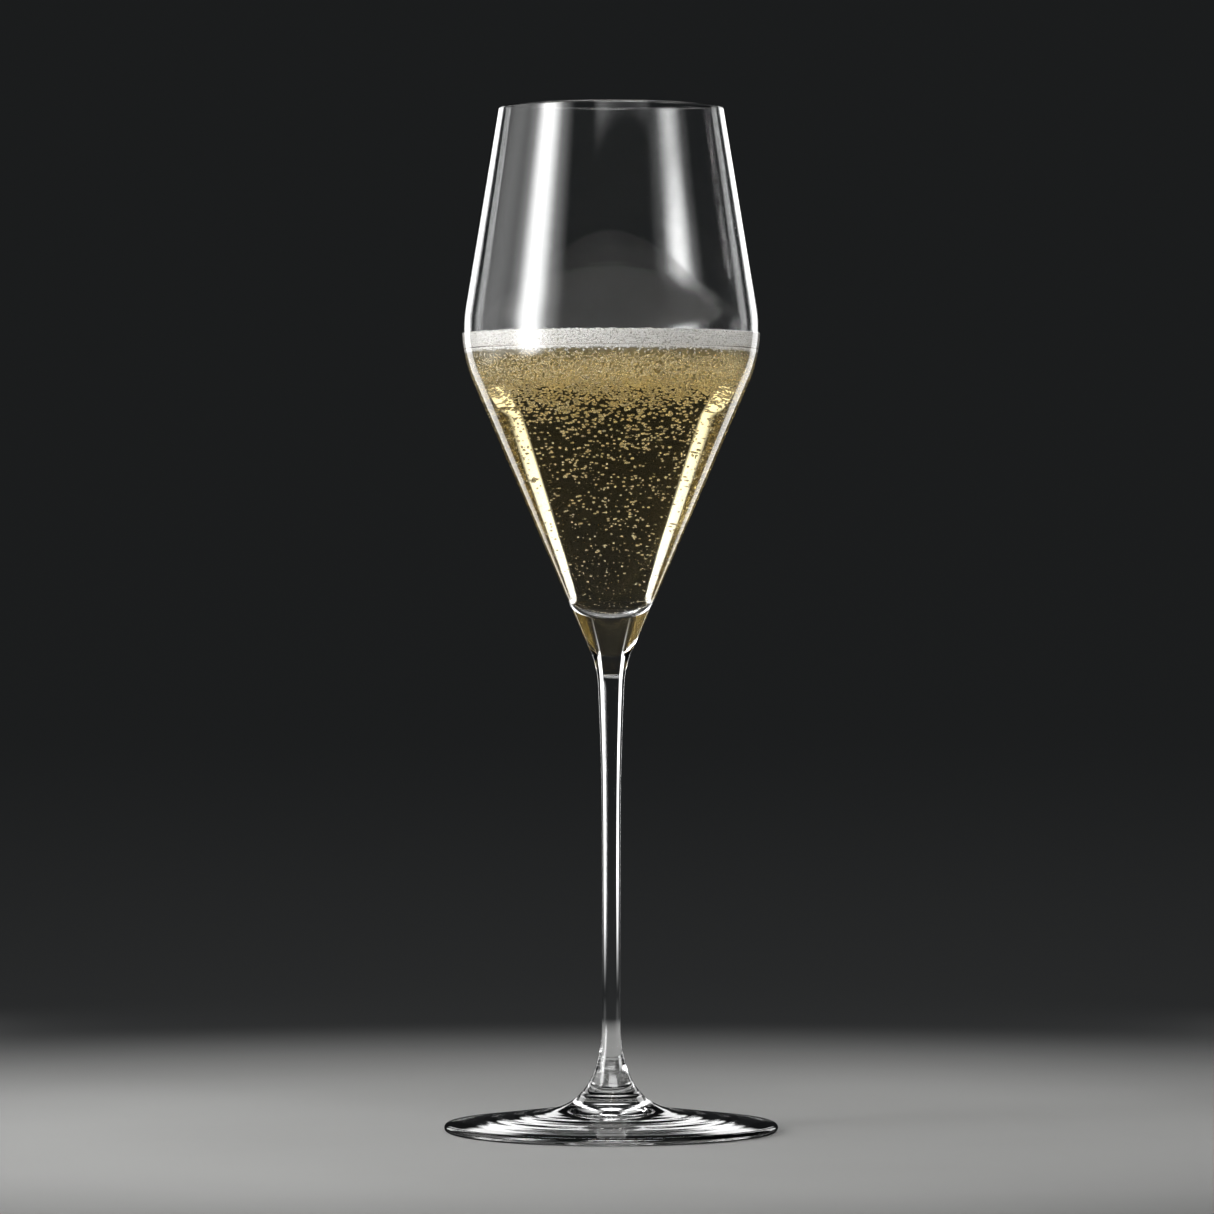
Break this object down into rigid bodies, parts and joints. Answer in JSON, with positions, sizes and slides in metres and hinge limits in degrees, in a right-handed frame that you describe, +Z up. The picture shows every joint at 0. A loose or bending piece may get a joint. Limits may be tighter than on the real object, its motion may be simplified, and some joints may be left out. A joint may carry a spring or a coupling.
{
  "type": "champagne flute",
  "caption": "Tall stemmed flute with a thin-walled tulip bowl, a slender drawn stem and a round spun foot, for sparkling wine.",
  "frame": {"origin": "on the glass's axis, in the plane that the foot stands on", "axes": "+Z up along the axis of the stem, from the foot to the rim; X and Y are equal by symmetry"},
  "size_m": [0.08, 0.08, 0.245],
  "materials": {
    "crystal_glass": "fire-polished clear lead-free crystal",
    "champagne": "clear pale gold sparkling wine",
    "foam": "fine white foam of small bubbles",
    "bubbles": "small gas bubbles in the wine"
  },
  "bodies": {
    "root": {"bowl": "crystal_glass", "stem": "crystal_glass", "foot": "crystal_glass"}
  },
  "joints": []
}
